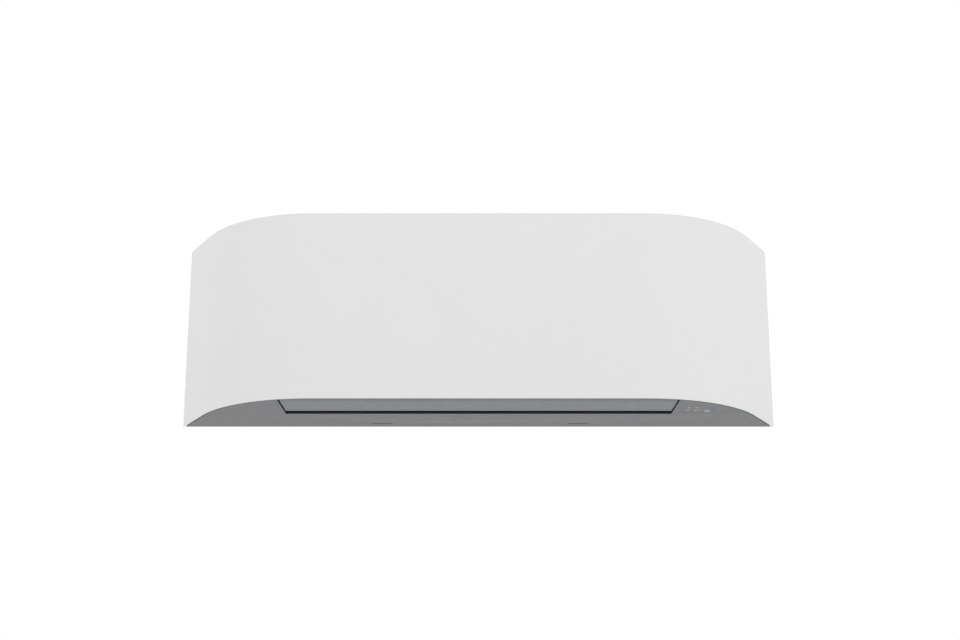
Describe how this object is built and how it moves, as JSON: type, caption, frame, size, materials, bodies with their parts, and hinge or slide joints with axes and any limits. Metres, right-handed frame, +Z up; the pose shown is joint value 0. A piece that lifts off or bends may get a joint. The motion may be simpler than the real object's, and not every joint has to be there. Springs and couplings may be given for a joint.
{
  "type": "mini split indoor unit",
  "caption": "Wall-hung air conditioner indoor unit: curved pale cover, grey underside, drop-down outlet flap, cross-flow fan, finned coil, swinging vanes and lift-out filters.",
  "frame": {"origin": "centre of the mounting plate's wall face, at half the unit's height and length", "axes": "+X to the right seen from the room, +Y into the wall, +Z up; the front faces -Y"},
  "size_m": [0.987, 0.21, 0.31],
  "materials": {
    "shell": "fine matte",
    "casing": "satin",
    "underside": "satin grey",
    "duct": "satin black",
    "vane": "satin black",
    "net": "woven net in a frame",
    "fins": "thin folded fins",
    "steel": "zinc plated",
    "copper": "drawn copper",
    "brass": "machined",
    "rubber": "matte",
    "foam": "closed-cell foam",
    "motor": "moulded resin",
    "board": "circuit board",
    "terminal": "matte",
    "icon": "clear light pipe",
    "lamp": "blue tinted lens"
  },
  "bodies": {
    "casing": {"rear_chassis": "casing", "fan_housing": "casing", "inlet_frame": "casing", "bottom_panel": "underside", "mounting_plate": "steel", "outlet_duct": "duct", "drain_pan": "duct", "drain_plug": "rubber", "flap_motor": "motor", "vane_motor_left": "motor", "vane_motor_right": "motor", "fan_bearing": "rubber", "fan_motor": "motor", "motor_clamp": "steel", "evaporator_front_lower": "fins", "evaporator_front_upper": "fins", "evaporator_rear": "fins", "tube_plate_left": "steel", "tube_plate_right": "steel", "gas_pipe": "copper", "liquid_pipe": "copper", "gas_flare_nut": "brass", "liquid_flare_nut": "brass", "pipe_sleeve": "foam", "pipe_clamp": "casing", "control_box": "casing", "control_board": "board", "terminal_block": "terminal", "control_lid": "steel", "display_board": "board", "icon_light_1": "icon", "icon_light_2": "icon", "icon_light_3": "icon", "icon_light_4": "icon", "operation_lamp": "lamp", "motor_lead": "rubber", "display_lead": "rubber", "screw_deck_left": "steel", "screw_deck_right": "steel", "screw_clamp_lower": "steel", "screw_clamp_upper": "steel"},
    "cover": {"front_cover": "shell"},
    "filter_left": {"air_filter_left": "net"},
    "filter_right": {"air_filter_right": "net"},
    "flap": {"flap": "underside"},
    "fan": {"fan_wheel": "vane", "motor_shaft": "steel"},
    "button": {"temporary_button": "shell"},
    "link_left": {"vane_link_left": "vane"},
    "link_right": {"vane_link_right": "vane"},
    "vane_1": {"vane_1": "vane"},
    "vane_2": {"vane_2": "vane"},
    "vane_3": {"vane_3": "vane"},
    "vane_4": {"vane_4": "vane"},
    "vane_5": {"vane_5": "vane"},
    "vane_6": {"vane_6": "vane"},
    "vane_7": {"vane_7": "vane"},
    "vane_8": {"vane_8": "vane"},
    "vane_9": {"vane_9": "vane"},
    "vane_10": {"vane_10": "vane"}
  },
  "joints": [
    {"name": "cover_hinge", "type": "hinge", "parent": "casing", "child": "cover", "pos_m": [0, -0.155, 0.151], "axis": [-1, 0, 0], "range_deg": [0, 60]},
    {"name": "filter_left_lift", "type": "slide", "parent": "casing", "child": "filter_left", "axis": [0, 0, 1], "range_m": [0, 0.06]},
    {"name": "filter_right_lift", "type": "slide", "parent": "casing", "child": "filter_right", "axis": [0, 0, 1], "range_m": [0, 0.06]},
    {"name": "flap_hinge", "type": "hinge", "parent": "casing", "child": "flap", "pos_m": [0.003, -0.122, -0.145], "axis": [1, 0, 0], "range_deg": [0, 75]},
    {"name": "fan_spin", "type": "hinge", "parent": "casing", "child": "fan", "pos_m": [0.003, -0.104, -0.032], "axis": [1, 0, 0], "continuous": true},
    {"name": "button_press", "type": "slide", "parent": "casing", "child": "button", "axis": [0, 1, 0], "range_m": [0, 0.0015], "stiffness_N_per_m": 400, "springref_m": -0.001},
    {"name": "vane_1_swing", "type": "hinge", "parent": "casing", "child": "vane_1", "pos_m": [-0.263, -0.09056, -0.12745], "axis": [0, -0.8261, 0.5635], "range_deg": [-30, 30]},
    {"name": "vane_2_swing", "type": "hinge", "parent": "casing", "child": "vane_2", "pos_m": [-0.205, -0.09056, -0.12745], "axis": [0, -0.8261, 0.5635], "range_deg": [-30, 30]},
    {"name": "vane_3_swing", "type": "hinge", "parent": "casing", "child": "vane_3", "pos_m": [-0.147, -0.09056, -0.12745], "axis": [0, -0.8261, 0.5635], "range_deg": [-30, 30]},
    {"name": "vane_4_swing", "type": "hinge", "parent": "casing", "child": "vane_4", "pos_m": [-0.089, -0.09056, -0.12745], "axis": [0, -0.8261, 0.5635], "range_deg": [-30, 30]},
    {"name": "vane_5_swing", "type": "hinge", "parent": "casing", "child": "vane_5", "pos_m": [-0.031, -0.09056, -0.12745], "axis": [0, -0.8261, 0.5635], "range_deg": [-30, 30]},
    {"name": "vane_6_swing", "type": "hinge", "parent": "casing", "child": "vane_6", "pos_m": [0.037, -0.09056, -0.12745], "axis": [0, -0.8261, 0.5635], "range_deg": [-30, 30]},
    {"name": "vane_7_swing", "type": "hinge", "parent": "casing", "child": "vane_7", "pos_m": [0.095, -0.09056, -0.12745], "axis": [0, -0.8261, 0.5635], "range_deg": [-30, 30]},
    {"name": "vane_8_swing", "type": "hinge", "parent": "casing", "child": "vane_8", "pos_m": [0.153, -0.09056, -0.12745], "axis": [0, -0.8261, 0.5635], "range_deg": [-30, 30]},
    {"name": "vane_9_swing", "type": "hinge", "parent": "casing", "child": "vane_9", "pos_m": [0.211, -0.09056, -0.12745], "axis": [0, -0.8261, 0.5635], "range_deg": [-30, 30]},
    {"name": "vane_10_swing", "type": "hinge", "parent": "casing", "child": "vane_10", "pos_m": [0.269, -0.09056, -0.12745], "axis": [0, -0.8261, 0.5635], "range_deg": [-30, 30]},
    {"name": "link_left_swing", "type": "hinge", "parent": "vane_1", "child": "link_left", "pos_m": [-0.263, -0.08267, -0.11589], "axis": [0, -0.8261, 0.5635], "range_deg": [-30, 30]},
    {"name": "link_right_swing", "type": "hinge", "parent": "vane_6", "child": "link_right", "pos_m": [0.037, -0.08267, -0.11589], "axis": [0, -0.8261, 0.5635], "range_deg": [-30, 30]}
  ],
  "couplings": [
    {"joint": "vane_2_swing", "follows": "vane_1_swing", "ratio": 1},
    {"joint": "vane_3_swing", "follows": "vane_1_swing", "ratio": 1},
    {"joint": "vane_4_swing", "follows": "vane_1_swing", "ratio": 1},
    {"joint": "vane_5_swing", "follows": "vane_1_swing", "ratio": 1},
    {"joint": "vane_7_swing", "follows": "vane_6_swing", "ratio": 1},
    {"joint": "vane_8_swing", "follows": "vane_6_swing", "ratio": 1},
    {"joint": "vane_9_swing", "follows": "vane_6_swing", "ratio": 1},
    {"joint": "vane_10_swing", "follows": "vane_6_swing", "ratio": 1},
    {"joint": "link_left_swing", "follows": "vane_1_swing", "ratio": -1},
    {"joint": "link_right_swing", "follows": "vane_6_swing", "ratio": -1}
  ]
}
